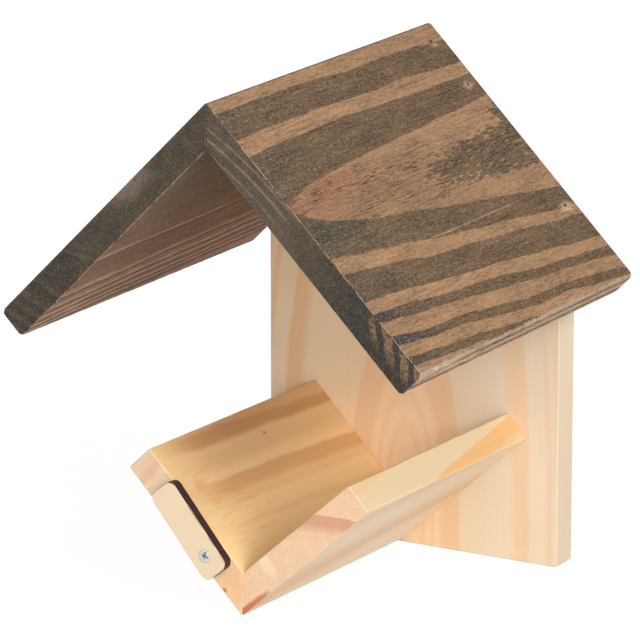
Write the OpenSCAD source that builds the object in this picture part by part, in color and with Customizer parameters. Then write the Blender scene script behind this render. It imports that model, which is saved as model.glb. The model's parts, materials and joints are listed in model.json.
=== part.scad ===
// Bird feeder that holds a jar of peanut butter on its side.
// Two roof boards mitred at the ridge, a gabled back board and two cradle boards mitred into
// a V are all sawn from the same stock. A turn button on the front of the cradle holds the jar.
// +X is to the right seen from the front, +Y is towards the wall and +Z is up.
// The origin is at the bottom centre of the box around the feeder.

/* [Boards] */
// Thickness of the boards
board_t = 15; // [12:0.5:20]
// Radius on the long edges of the boards
edge_r = 0.8; // [0.3:0.1:2]

/* [Roof] */
// Length of the roof boards along the ridge
roof_length = 201; // [170:1:260]
// Width of a roof board down its outer face
roof_w = 153; // [130:1:180]
// Slope of the roof boards in degrees
roof_pitch = 45; // [38:1:50]
// Radius on the two edges at the eave
eave_r = 2.5; // [0.5:0.1:5]

/* [Back board] */
// Height from the bottom edge to the top of the ridge
overall_h = 250.5; // [230:0.5:300]
// Width of the back board
back_w = 155.5; // [140:0.5:175]
// Diameter of the hole for the screw that the feeder hangs on
hang_hole_d = 5.5; // [4:0.5:8]
// Distance of that hole below the top of the ridge
hang_hole_drop = 62; // [60:1:90]

/* [Cradle] */
// Length of the cradle boards
cradle_length = 150; // [100:1:165]
// Width of the left cradle board over its outer face
cradle_left_w = 85.5; // [75:0.5:95]
// Width of the right cradle board over its outer face
cradle_right_w = 88; // [75:0.5:95]
// Slope of the left cradle board in degrees
cradle_left_pitch = 46; // [38:0.5:50]
// Slope of the right cradle board in degrees
cradle_right_pitch = 42; // [38:0.5:50]
// Sideways place of the cradle's bottom edge, from the middle of the feeder
cradle_shift = -4.4; // [-10:0.1:10]
// Height of the cradle's bottom edge above the bottom of the back board, at the back board
cradle_lift = 1.8; // [0:0.1:10]
// Fall of the cradle towards the back board in degrees
cradle_fall = 1.3; // [0:0.1:4]

/* [Turn button] */
// Length of the turn button
button_length = 47; // [35:1:60]
// Width of the turn button
button_w = 15; // [12:0.5:20]
// Thickness of the turn button
button_t = 5.5; // [4:0.5:8]
// Radius of the turn button's corners
button_r = 3.5; // [1:0.5:5]
// Distance from the turn button's lower end to its screw
button_end = 10; // [7:0.5:14]
// Distance from the cradle's bottom edge to that screw, up the left board
button_rise = 31; // [22:0.5:45]
// Angle by which the turn button stands off the line of the left board, in degrees
button_turn = 4.8; // [0:0.1:90]
// Gap between the turn button and the end of the cradle
button_gap = 0.2; // [0.1:0.05:0.4]
// Gap around the screw in the turn button
button_clearance = 0.1; // [0.05:0.05:0.2]

/* [Turn button screw] */
// Diameter of the turn button's screw
button_screw_d = 3; // [2.5:0.5:4]
// Length of the turn button's screw
button_screw_length = 20; // [12:1:30]
// Diameter of its countersunk head
button_screw_head_d = 6; // [5:0.5:7]

/* [Cradle screws] */
// Diameter of the screws that hold the cradle to the back board
cradle_screw_d = 3.5; // [3:0.5:4.5]
// Length of those screws
cradle_screw_length = 40; // [25:1:60]
// Diameter of their countersunk heads
cradle_screw_head_d = 7; // [6:0.5:8.5]
// Distance from the cradle's bottom edge to the lower screw of each board
cradle_screw_rise = 26; // [20:0.5:30]
// Distance between the two screws of a board
cradle_screw_pitch = 40; // [25:1:42]

/* [Pins] */
// Diameter of the steel pins
pin_d = 1.6; // [1.2:0.1:2]
// Length of the pins
pin_length = 35; // [25:1:45]
// Diameter of the pins' heads
pin_head_d = 2.6; // [2.2:0.1:3.5]
// Depth to which the heads are punched below the wood
pin_sink = 0.5; // [0.1:0.1:1.5]
// Distance between the roof pins of the right slope and those of the left, along the ridge
roof_pin_stagger = 3; // [2.5:0.1:4]
// Distance from the ridge to the top roof pin of each slope
roof_pin_top = 36; // [30:0.5:45]
// Distance from the side of the back board to the lowest roof pin, where it enters that board
roof_pin_side = 11.5; // [8:0.5:20]
// Distance of the ridge pins from the ridge
ridge_pin_inset = 9.5; // [7:0.5:11]
// Distance of the end pins of the ridge from the ends of the roof
ridge_pin_end = 11; // [11:1:40]
// Distance of the cradle pins from the cradle's bottom edge
cradle_pin_inset = 8; // [6:0.5:10]
// Distance of the end pins of the cradle from its front end and from the cradle screws' tips
cradle_pin_end = 15; // [12:1:25]

/* [Hidden] */

stain = "#6f5b45";
pine = "#e6c191";
pale_ply = "#f2d7ac";
steel = "#b9bbbd";

// Number of pins along each joint
pin_count = 3;
// Gap around a screw or pin in the wood that it is driven into
driven_gap = 0.05;
// Height of the straight rim of a countersunk head
head_rim = 0.3;
// Thickness of a pin's head
pin_head_t = 0.8;
// Length of a screw's or pin's point, in diameters
point_share = 1.5;
// Width, reach and depth of the cross in a screw head, as shares of the head's diameter
cross_w = 0.15;
cross_reach = 0.55;
cross_depth = 0.25;
// How far a cutting shape runs past the face that it cuts
over = 1;
// Straight steps in the arc of an eased corner
corner_steps = 8;
$fn = 64;

back_y = roof_length / 2;
board_y = back_y - board_t;
front_y = board_y - cradle_length;
gable_top = overall_h - board_t / cos(roof_pitch);
gable_foot = gable_top - back_w / 2 * tan(roof_pitch);

// The cradle's outline as seen from the front, with its bottom edge at the origin
left_up = [-cos(cradle_left_pitch), sin(cradle_left_pitch)];
right_up = [cos(cradle_right_pitch), sin(cradle_right_pitch)];
left_in = [sin(cradle_left_pitch), cos(cradle_left_pitch)];
right_in = [-sin(cradle_right_pitch), cos(cradle_right_pitch)];
half_opening = 90 - (cradle_left_pitch + cradle_right_pitch) / 2;
mitre_angle = half_opening + cradle_right_pitch;
inner_bottom = board_t / sin(half_opening) * [cos(mitre_angle), sin(mitre_angle)];

// Where the turn button's screw stands, on the end of the left cradle board
front_rise = cradle_lift + cradle_length * tan(cradle_fall);
pivot = [cradle_shift, front_rise] + button_rise * left_up + board_t / 2 * left_in;
button_angle = 180 - cradle_left_pitch - button_turn;
button_front_y = front_y - button_gap - button_t;

function unit(v) = v / norm(v);

// The arc that eases the corner at, between the points before and after it
function eased_corner(before, at, after, r) =
    let (a = unit(before - at),
         b = unit(after - at),
         half = acos(a * b) / 2,
         centre = at + unit(a + b) * r / sin(half),
         from = at + a * r / tan(half) - centre,
         start = atan2(from.y, from.x),
         sweep = sign(cross(b, a)) * (180 - 2 * half))
    r == 0 ? [at] :
    [for (k = [0 : corner_steps])
        let (angle = start + sweep * k / corner_steps)
        centre + r * [cos(angle), sin(angle)]];

module eased_outline(points, radii) {
    count = len(points);
    polygon([for (i = [0 : count - 1])
        each eased_corner(points[(i + count - 1) % count], points[i],
                          points[(i + 1) % count], radii[i])]);
}

// A countersunk screw that points down, with the middle of its head's face at the origin.
// grow makes it a little larger all round, for the hole that it fits.
module screw_form(d, length, head_d, grow = 0) {
    r = d / 2 + grow;
    head_r = head_d / 2 + grow;
    rim = grow > 0 ? over : 0;
    rotate_extrude()
        polygon([[0, rim], [head_r, rim], [head_r, -head_rim], [r, r - head_r - head_rim],
                 [r, d * point_share - length], [0, -length - grow]]);
}

module screw(d, length, head_d) {
    difference() {
        screw_form(d, length, head_d);
        for (turn = [0, 90])
            rotate(turn)
                translate([0, 0, over / 2 - head_d * cross_depth / 2])
                    cube([head_d * cross_reach, head_d * cross_w,
                          head_d * cross_depth + over], center = true);
    }
}

// A round pin with a small flat head that points down, punched in below the origin
module pin_form(grow = 0) {
    r = pin_d / 2 + grow;
    head_r = pin_head_d / 2 + grow;
    top = grow > 0 ? over : -pin_sink;
    head_bottom = -pin_sink - pin_head_t;
    tip = -pin_sink - pin_length;
    rotate_extrude()
        polygon([[0, top], [head_r, top], [head_r, head_bottom - grow], [r, head_bottom - grow],
                 [r, tip + pin_d * point_share], [0, tip - grow]]);
}

// Places its children on the outer face of a slope, with X down the slope and Z out of it
module on_slope(side) {
    mirror([side == "left" ? 1 : 0, 0, 0])
        translate([0, 0, overall_h])
            rotate([0, roof_pitch, 0])
                children();
}

// Places its children in the cradle, with Y up and Z to the front along the cradle
module in_cradle() {
    translate([cradle_shift, board_y, cradle_lift])
        rotate([90 - cradle_fall, 0, 0])
            children();
}

function spread(from, to, count, k) = from + (to - from) * k / (count - 1);

// The roof pins go into the top edge of the back board, those of the right slope further forward
module at_roof_pins(side) {
    off_middle = (side == "right" ? -1 : 1) * roof_pin_stagger / 2;
    lowest = (back_w / 2 - roof_pin_side + board_t * sin(roof_pitch)) / cos(roof_pitch);
    on_slope(side)
        for (k = [0 : pin_count - 1])
            translate([spread(roof_pin_top, lowest, pin_count, k),
                       back_y - board_t / 2 + off_middle, 0])
                children();
}

module at_ridge_pins() {
    on_slope("right")
        for (k = [0 : pin_count - 1])
            translate([ridge_pin_inset,
                       spread(ridge_pin_end - back_y, back_y - ridge_pin_end, pin_count, k), 0])
                children();
}

module at_cradle_pins() {
    head = cradle_pin_inset * left_up;
    rear = cradle_screw_length - board_t + cradle_pin_end;
    front = cradle_length - cradle_pin_end;
    in_cradle()
        for (k = [0 : pin_count - 1])
            translate([head.x, head.y, spread(rear, front, pin_count, k)])
                rotate([0, 0, 90 - cradle_left_pitch])
                    rotate([0, -90, 0])
                        children();
}

module at_cradle_screws() {
    for (up_in = [[left_up, left_in], [right_up, right_in]], k = [0, 1]) {
        place = (cradle_screw_rise + k * cradle_screw_pitch) * up_in[0]
            + board_t / 2 * up_in[1];
        translate([cradle_shift + place.x, back_y, cradle_lift + place.y])
            rotate([-90, 0, 0])
                children();
    }
}

module at_button_screw() {
    translate([pivot.x, button_front_y, pivot.y])
        rotate([90, 0, 0])
            children();
}

module back_board() {
    half_w = back_w / 2;
    color(pine)
        difference() {
            translate([0, back_y, 0])
                rotate([90, 0, 0])
                    linear_extrude(board_t)
                        eased_outline([[-half_w, 0], [half_w, 0], [half_w, gable_foot],
                                       [0, gable_top], [-half_w, gable_foot]],
                                      [edge_r, edge_r, 0, 0, 0]);
            translate([0, back_y + over, overall_h - hang_hole_drop])
                rotate([90, 0, 0])
                    cylinder(d = hang_hole_d, h = board_t + 2 * over);
            for (side = ["left", "right"])
                at_roof_pins(side) pin_form(driven_gap);
            at_cradle_screws()
                screw_form(cradle_screw_d, cradle_screw_length, cradle_screw_head_d, driven_gap);
        }
}

module roof_board(side) {
    color(stain)
        difference() {
            on_slope(side)
                translate([0, back_y, 0])
                    rotate([90, 0, 0])
                        linear_extrude(roof_length)
                            eased_outline([[board_t * tan(roof_pitch), -board_t],
                                           [roof_w, -board_t], [roof_w, 0], [0, 0]],
                                          [0, eave_r, eave_r, 0]);
            at_roof_pins(side) pin_form(driven_gap);
            at_ridge_pins() pin_form(driven_gap);
        }
}

module roof_board_left() {
    roof_board("left");
}

module roof_board_right() {
    roof_board("right");
}

// One cradle board of width w, cut plumb at both ends, that rises from the bottom edge along up
module cradle_board(w, up, in) {
    outer_top = w * up;
    inner_top = outer_top + board_t * in;
    color(pine)
        difference() {
            intersection() {
                in_cradle()
                    translate([0, 0, -board_t])
                        linear_extrude(cradle_length + 2 * board_t)
                            eased_outline([[0, 0], outer_top, inner_top, inner_bottom],
                                          [0, edge_r, edge_r, 0]);
                translate([-back_w, front_y, 0])
                    cube([2 * back_w, cradle_length, overall_h]);
            }
            at_cradle_screws()
                screw_form(cradle_screw_d, cradle_screw_length, cradle_screw_head_d, driven_gap);
            at_cradle_pins() pin_form(driven_gap);
            at_button_screw()
                screw_form(button_screw_d, button_screw_length, button_screw_head_d, driven_gap);
        }
}

module cradle_board_left() {
    cradle_board(cradle_left_w, left_up, left_in);
}

module cradle_board_right() {
    cradle_board(cradle_right_w, right_up, right_in);
}

module turn_button() {
    half_w = button_w / 2;
    far = button_length - button_end;
    color(pale_ply)
        difference() {
            translate([pivot.x, front_y - button_gap, pivot.y])
                rotate([90, 0, 0])
                    rotate([0, 0, button_angle])
                        linear_extrude(button_t)
                            eased_outline([[-button_end, -half_w], [far, -half_w],
                                           [far, half_w], [-button_end, half_w]],
                                          [button_r, button_r, button_r, button_r]);
            at_button_screw()
                screw_form(button_screw_d, button_screw_length, button_screw_head_d,
                           button_clearance);
        }
}

module turn_button_screw() {
    color(steel)
        at_button_screw()
            screw(button_screw_d, button_screw_length, button_screw_head_d);
}

module roof_pins() {
    color(steel)
        for (side = ["left", "right"])
            at_roof_pins(side) pin_form();
}

module ridge_pins() {
    color(steel)
        at_ridge_pins() pin_form();
}

module cradle_screws() {
    color(steel)
        at_cradle_screws()
            screw(cradle_screw_d, cradle_screw_length, cradle_screw_head_d);
}

module cradle_pins() {
    color(steel)
        at_cradle_pins() pin_form();
}

back_board();
roof_board_left();
roof_board_right();
cradle_board_left();
cradle_board_right();
turn_button();
turn_button_screw();
roof_pins();
ridge_pins();
cradle_screws();
cradle_pins();
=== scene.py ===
"""Finished planks, turn button, screws and pins of a wooden bird feeder that holds a jar."""

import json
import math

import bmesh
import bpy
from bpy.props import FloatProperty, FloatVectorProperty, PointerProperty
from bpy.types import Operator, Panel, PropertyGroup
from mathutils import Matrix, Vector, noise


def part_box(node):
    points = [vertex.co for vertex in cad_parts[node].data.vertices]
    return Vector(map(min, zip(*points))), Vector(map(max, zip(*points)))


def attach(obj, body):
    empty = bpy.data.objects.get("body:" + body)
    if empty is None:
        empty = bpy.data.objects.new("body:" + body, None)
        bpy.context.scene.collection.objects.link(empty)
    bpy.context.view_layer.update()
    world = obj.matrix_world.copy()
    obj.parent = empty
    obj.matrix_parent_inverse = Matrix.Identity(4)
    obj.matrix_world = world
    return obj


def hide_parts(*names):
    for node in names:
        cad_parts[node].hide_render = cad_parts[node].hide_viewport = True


bl_info = {
    "name": "Jar feeder",
    "version": (1, 0, 0),
    "blender": (4, 5, 0),
    "location": "View3D > Sidebar > Feeder",
    "description": "Finishes the planks, the turn button, the screws and the pins of a jar feeder",
    "category": "Object",
}

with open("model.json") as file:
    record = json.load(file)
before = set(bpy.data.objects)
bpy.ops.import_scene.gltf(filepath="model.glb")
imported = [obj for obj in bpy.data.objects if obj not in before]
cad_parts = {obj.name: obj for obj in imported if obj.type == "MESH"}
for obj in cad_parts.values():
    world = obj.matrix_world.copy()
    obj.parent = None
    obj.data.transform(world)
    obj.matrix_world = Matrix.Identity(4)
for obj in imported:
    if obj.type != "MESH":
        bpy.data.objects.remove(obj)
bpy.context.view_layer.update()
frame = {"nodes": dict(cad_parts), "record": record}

MM = 0.001
# Two points closer than this count as one, in metres
TOUCH = 0.02 * MM
# An edge of an outline longer than this is a flat face of the plank, and shorter ones are arcs
FLAT_FACE = 3 * MM


def tone(code):
    """The linear colour of a hex code such as "#ac8767"."""
    shares = [int(code[i:i + 2], 16) / 255 for i in (1, 3, 5)]
    return tuple(s / 12.92 if s <= 0.04045 else ((s + 0.055) / 1.055) ** 2.4 for s in shares)


def tone_setting(name, description, code):
    return FloatVectorProperty(name=name, description=description, subtype="COLOR", size=3,
                               min=0, max=1, default=tone(code))


def length_setting(name, description, millimetres):
    return FloatProperty(name=name, description=description, unit="LENGTH",
                         default=millimetres * MM)


def angle_setting(name, description, degrees):
    return FloatProperty(name=name, description=description, subtype="ANGLE",
                         default=math.radians(degrees))


def number_setting(name, description, value):
    return FloatProperty(name=name, description=description, default=value)


class PlankSettings(PropertyGroup):
    """How finely the planks are meshed and how far their arrises are worn"""
    step: length_setting("Mesh step", "Longest edge of the planks' mesh", 2)
    arris: length_setting("Arris radius", "Radius on the arrises that the saw leaves sharp", 0.45)
    wear: length_setting("Wear depth", "Depth of the deepest nicks in the arrises", 0.5)
    wear_reach: length_setting("Wear length", "Usual length of a nick along an arris", 7)
    pin_mark: length_setting("Pin mark", "Width of the hole that closes over a pin's head", 1.9)


class StainTones(PropertyGroup):
    """Colours of the stained roof boards"""
    light: tone_setting("Light rings", "Stain over the wood that took little of it", "#a07c5b")
    dark: tone_setting("Dark rings", "Stain over the wood that took most of it", "#69533d")
    ember: tone_setting("Ember", "Reddish tip of the flame figure", "#a06a4e")
    moss: tone_setting("Moss", "Greenish grey beside the flame figure", "#4a463a")
    ink: tone_setting("Ink", "Blue black where the stain pooled at the eave", "#3b3638")
    end: tone_setting("End grain", "Stain on the sawn ends", "#38322b")
    end_pale: tone_setting("End grain, ridge", "Stain on the sawn ends near the ridge", "#5f5142")
    under: tone_setting("Underside", "Thin stain on the left board's underside", "#745842")
    under_light: tone_setting("Underside lines", "Pale lines on that underside", "#b0927a")
    eave: tone_setting("Eave", "Pale lines along the eaves", "#d2b090")
    worn: tone_setting("Worn arris", "Dusty wood on the worn arrises", "#ab9780")
    bare: tone_setting("Bare corner", "Bare wood at the front of the eaves", "#e6cdb0")


class PineTones(PropertyGroup):
    """Colours of the bare pine boards, the ply and its scorched edge"""
    pale: tone_setting("Early wood", "Pale wood between the rings", "#e9cfad")
    paler: tone_setting("Early wood, right", "The same at the back board's right edge", "#e0cfb5")
    # The arch tone is lighter than the early wood: the grain inside the arches, with painted light
    # on the middle of the board above the cradle.
    arch: tone_setting("Arch", "Wood inside the arches of the back board", "#f6d5ac")
    edge: tone_setting("Edge", "Early wood on the cradle's top edges", "#e6cea8")
    warm: tone_setting("Late wood", "Orange rings", "#e4b98e")
    # Honey and amber are warmer than the pale wood elsewhere: the wood's own colour with the roof's
    # shade and the warm light bounced between the boards painted in. Ochre, lighter still, is
    # painted light in the crease at the cradle's bottom.
    honey: tone_setting("Honey", "Early wood on the cradle's inner faces", "#f8d39c")
    amber: tone_setting("Amber", "Late wood on the cradle's inner faces", "#d09460")
    ochre_crease_light: tone_setting("Ochre", "Light wood low in the cradle", "#ffdfa4")
    tan: tone_setting("Tan", "Late wood on the cradle's edges", "#edb87c")
    peach: tone_setting("Peach", "Sawn ends of the cradle boards", "#eac6a2")
    rose: tone_setting("Rose", "Late wood on the sawn ends", "#d39c7e")
    resin: tone_setting("Resin", "Dark red streaks on the sawn ends", "#bf6a4c")
    # On the cradle boards' outer faces this cream is the pale wood with painted light from below on
    # those downward faces; on the ends it is the wood's own colour.
    cream: tone_setting("Cream", "Bleached wood on the right cradle board", "#f9e1c3")
    ply: tone_setting("Ply", "Face of the turn button", "#ead4b5")
    char: tone_setting("Scorched edge", "Cut edge of the turn button", "#2c1620")


class FastenerSettings(PropertyGroup):
    """Cross recess and thread of the screws"""
    recess: length_setting("Recess width", "From end to end of the cross recess", 3.9)
    slot: length_setting("Recess slot", "Width of an arm of the cross recess", 1.25)
    recess_depth: length_setting("Recess depth", "Depth of the cross recess", 2)
    pitch: length_setting("Thread pitch", "From one turn of the thread to the next", 1.3)
    thread: length_setting("Thread depth", "Depth of the groove between the thread's turns", 0.35)


class MetalTones(PropertyGroup):
    """Colours of the screws and pins"""
    zinc: tone_setting("Zinc", "Bright plate of the screws", "#dcdcda")
    dulled: tone_setting("Dulled zinc", "Pins' heads under stain", "#6a6259")


class StageSettings(PropertyGroup):
    """Camera and light"""
    azimuth: angle_setting("Azimuth", "Way that the camera stands, from the front to the right",
                           30.04)
    elevation: angle_setting("Elevation", "Height of the camera over the horizon", 14.93)
    distance: length_setting("Distance", "From the camera to the point that it looks at", 2300)
    aim: FloatVectorProperty(name="Aim", description="Point that the camera looks at",
                             subtype="XYZ", unit="LENGTH", default=(0.0316, -0.0562, 0.1468))
    lens: number_setting("Lens", "Focal length in millimetres", 291.9)
    lamp_distance: length_setting("Lamp distance", "From a lamp to the point it shines at", 2000)
    front: number_setting("Front light", "Power of the lamp in front, in watts", 17.5)
    side: number_setting("Side light", "Power of the lamp at the right, in watts", 32)
    rear: number_setting("Rear light", "Power of the lamp behind, in watts", 16)
    sky: number_setting("Sky", "Strength of the even light from all sides", 0.31)
    floor: number_setting("Floor", "Grey of the floor that throws light on the feeder", 0.75)
    shadow: number_setting("Shadow floor", "Grey of the floor that the camera sees shaded", 0.2)
    glow: number_setting("Glow", "Even white that the camera sees over that grey", 0.9)


class FeederSettings(PropertyGroup):
    """All the settings of the feeder"""
    planks: PointerProperty(type=PlankSettings)
    fasteners: PointerProperty(type=FastenerSettings)
    stain: PointerProperty(type=StainTones)
    pine: PointerProperty(type=PineTones)
    metal: PointerProperty(type=MetalTones)
    stage: PointerProperty(type=StageSettings)


# Node trees

# A colour ramp has room for the two stops of each of so many rings
MOST_RINGS = 15
SOCKETS = {"vector": "NodeSocketVector", "value": "NodeSocketFloat", "colour": "NodeSocketColor",
           "whole": "NodeSocketInt", "geometry": "NodeSocketGeometry",
           "object": "NodeSocketObject", "material": "NodeSocketMaterial"}
# Groups that are built already, by the function that makes each
GROUPS = {}


class Output:
    """A node's output, which can be worked with like a number."""

    def __init__(self, tree, socket):
        self.tree, self.socket = tree, socket

    def __add__(self, other):
        return self.tree.math("ADD", self, other)

    def __mul__(self, other):
        return self.tree.math("MULTIPLY", self, other)

    def __sub__(self, other):
        return self.tree.math("SUBTRACT", self, other)

    def __rsub__(self, other):
        return self.tree.math("SUBTRACT", other, self)

    def __truediv__(self, other):
        return self.tree.math("DIVIDE", self, other)

    def __abs__(self):
        return self.tree.math("ABSOLUTE", self)


class Node:
    """A node of a Tree, indexed for its outputs."""

    def __init__(self, tree, node):
        self.tree, self.node = tree, node

    def __getitem__(self, key):
        return Output(self.tree, self.node.outputs[key])


class Tree:
    """Adds nodes to a node tree. An input may be a number, a colour or another node's Output."""

    def __init__(self, graph):
        self.graph = graph

    def node(self, kind, inputs=None, **settings):
        """A new node with its settings made and its inputs fed."""
        made = self.graph.nodes.new(kind)
        for name, value in settings.items():
            setattr(made, name, value)
        self.feed(made, inputs or {})
        return Node(self, made)

    def feed(self, node, inputs):
        """Links or sets a node's inputs, which are named or counted from 0."""
        for key, value in inputs.items():
            socket = node.inputs[key]
            if isinstance(value, Output):
                self.graph.links.new(value.socket, socket)
            elif socket.type == "RGBA" and len(value) == 3:
                socket.default_value = (*value, 1)
            else:
                socket.default_value = value

    def math(self, operation, *values, clamp=False):
        return self.node("ShaderNodeMath", dict(enumerate(values)), operation=operation,
                         use_clamp=clamp)[0]

    def vector_math(self, operation, *values):
        made = self.node("ShaderNodeVectorMath", dict(enumerate(values)), operation=operation)
        return made["Value" if operation in ("LENGTH", "DOT_PRODUCT") else "Vector"]

    def parts(self, vector):
        """The three numbers of a vector."""
        made = self.node("ShaderNodeSeparateXYZ", {0: vector})
        return [made[axis] for axis in range(3)]

    def joined(self, *parts):
        """A vector of three numbers."""
        return self.node("ShaderNodeCombineXYZ", dict(enumerate(parts)))[0]

    def blend(self, share, first, second, mode="MIX"):
        """The first colour where share is 0, and the second where it is 1."""
        return self.node("ShaderNodeMix", {0: share, 6: first, 7: second}, data_type="RGBA",
                         blend_type=mode)[2]

    def tinted(self, colour, level):
        """A colour times a level, which is 1 where the colour stays as it is."""
        grey = self.node("ShaderNodeCombineColor", {0: level, 1: level, 2: level})[0]
        return self.blend(1.0, colour, grey, mode="MULTIPLY")

    def rise(self, value, low, high, top=1.0):
        """0 below low and top above high, with a smooth step between. Low may be above high."""
        return self.node("ShaderNodeMapRange", {0: value, 1: low, 2: high, 3: 0.0, 4: top},
                         interpolation_type="SMOOTHSTEP")[0]

    def stretched(self, value):
        """Noise with more of its share near 0 and 1."""
        return self.rise(value, 0.32, 0.68)

    def cloud(self, vector, size, detail=2.0, roughness=0.5, offset=(0, 0, 0)):
        """Smooth noise of about 0.5, in blots of about the size, which has the vector's units."""
        scale = tuple(1 / length for length in size)
        moved = self.node("ShaderNodeMapping", {0: vector, 1: offset, 3: scale})[0]
        return self.node("ShaderNodeTexNoise", {0: moved, 2: 1.0, 3: detail, 4: roughness})[0]

    def use(self, make, **inputs):
        """A node of the shared group that a function makes."""
        named = {name.capitalize(): value for name, value in inputs.items()}
        return self.node("ShaderNodeGroup", named, node_tree=shared_group(make))

    def give(self, **outputs):
        """Feeds the outputs of the group that this tree is, and returns the group."""
        self.node("NodeGroupOutput", outputs)
        return self.graph

    def ring_tones(self, radius, rings, softness=0.25):
        """Soft grey steps over the radius. rings lists where a ring starts, in mm, and its tone."""
        if len(rings) > MOST_RINGS:
            half = len(rings) // 2
            inner = self.ring_tones(radius, rings[:half + 1], softness)
            outer = self.ring_tones(radius, rings[half:], softness)
            past = self.math("GREATER_THAN", radius, rings[half][0] + softness)
            return self.blend(past, inner, outer)
        first, last = rings[0][0], rings[-1][0] + softness
        span = last - first
        ramp = self.node("ShaderNodeValToRGB", {0: (radius - first) / span})
        stops = ramp.node.color_ramp.elements
        stops.remove(stops[-1])
        stops[0].position = 0
        stops[0].color = (*[rings[0][1]] * 3, 1)
        for (start, level, *own), (_, before, *_) in zip(rings[1:], rings):
            soft = own[0] if own else softness
            for edge, value in ((start - soft, before), (start + soft, level)):
                stop = stops.new(min(max((edge - first) / span, 0), 1))
                stop.color = (value, value, value, 1)
        return ramp[0]


def shared_group(make):
    """The group that a function makes, built the first time that it is asked for."""
    if make not in GROUPS:
        GROUPS[make] = make()
    return GROUPS[make]


def new_group(name, inputs, outputs, kind="ShaderNodeTree"):
    """A new group's Tree and the node that holds its inputs. Each socket has a label and a kind."""
    group = bpy.data.node_groups.new(name, kind)
    for way, sockets in (("INPUT", inputs), ("OUTPUT", outputs)):
        for label, socket in sockets.items():
            group.interface.new_socket(label, in_out=way, socket_type=SOCKETS[socket])
    tree = Tree(group)
    return tree, tree.node("NodeGroupInput")


def growth_rings():
    """Where a place in a plank lies in the tree, in mm: how far from the heart, and which side."""
    tree, given = new_group(
        "Growth rings",
        {"Vector": "vector", "Heart": "vector", "Drift": "vector", "Closing": "value",
         "Wobble": "value", "Torn": "value"},
        {"Radius": "value", "Side": "value"})
    vector = given["Vector"]
    along = tree.parts(vector)[1]
    heart = tree.vector_math("MULTIPLY_ADD", given["Drift"], tree.joined(along, 0, along),
                             given["Heart"])
    parts = tree.parts(tree.vector_math("SUBTRACT", vector, heart))
    slow = tree.cloud(vector, (22, 60, 22), detail=1.5)
    quick = tree.cloud(vector, (9, 30, 9), detail=1.0, offset=(3.1, 0.7, 5.2))
    torn = tree.cloud(vector, (2, 9, 2), detail=3.0, offset=(6.4, 2.2, 0.8))
    sway = (quick * 0.12 + slow - 0.56) * given["Wobble"] + (torn - 0.5) * given["Torn"]
    across = parts[0] + sway
    closed = tree.math("MAXIMUM", parts[1], 0.0) * given["Closing"]
    return tree.give(Radius=tree.vector_math("LENGTH", tree.joined(across, closed, parts[2])),
                     Side=tree.math("GREATER_THAN", across, 0.0))


def fibre_grain():
    """Marks that run with the grain: broad streaks, short dark dashes and pale specks."""
    tree, given = new_group(
        "Fibre grain",
        {"Vector": "vector", "Width": "value", "Length": "value"},
        {"Streak": "value", "Dash": "value", "Speck": "value"})
    width, length = given["Width"], given["Length"]
    fitted = tree.vector_math("DIVIDE", given["Vector"], tree.joined(width, length, width))
    dash = tree.cloud(fitted, (1 / 1.3, 1, 1 / 1.3), roughness=0.55, offset=(7.3, 1.9, 4.4))
    speck = tree.cloud(fitted, (1 / 1.1, 1 / 4, 1 / 1.1), detail=1.0, offset=(2.9, 8.1, 6.7))
    return tree.give(Streak=tree.cloud(fitted, (2, 4, 2), detail=3.0, roughness=0.6),
                     Dash=tree.rise(dash, 0.55, 0.62),
                     Speck=tree.rise(speck, 0.60, 0.68))


def soft_patch():
    """A patch with a ragged edge, round a centre and of a size that are both in mm."""
    tree, given = new_group(
        "Soft patch",
        {"Vector": "vector", "Centre": "vector", "Size": "vector", "Softness": "value",
         "Ragged": "value"},
        {"Mask": "value"})
    offset = tree.vector_math("SUBTRACT", given["Vector"], given["Centre"])
    reach = tree.vector_math("LENGTH", tree.vector_math("DIVIDE", offset, given["Size"]))
    torn = tree.cloud(given["Vector"], (2.5, 9, 2.5), detail=3.0)
    reach = reach + (torn - 0.5) * given["Ragged"]
    return tree.give(Mask=tree.rise(reach, given["Softness"] + 1, 1 - given["Softness"]))


def worn_arris():
    """Where the stain or dirt is gone from an arris. Wear is the planks' own attribute."""
    tree, given = new_group(
        "Worn arris",
        {"Vector": "vector", "Wear": "value", "Amount": "value"},
        {"Mask": "value"})
    broken = tree.cloud(given["Vector"], [1 / 0.9] * 3, detail=3.0, roughness=0.7)
    worn = (broken - 0.5) * 1.6 + given["Wear"]
    limit = 1 - given["Amount"]
    return tree.give(Mask=tree.rise(worn, limit - 0.15, limit + 0.15))


# Linear colours of a pit filled with stain, a fibre torn up through it and the saw's dust on it
PIT = (0.04, 0.028, 0.018)
FIBRE = (0.42, 0.32, 0.22)
DUST = (0.24, 0.22, 0.165)


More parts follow.
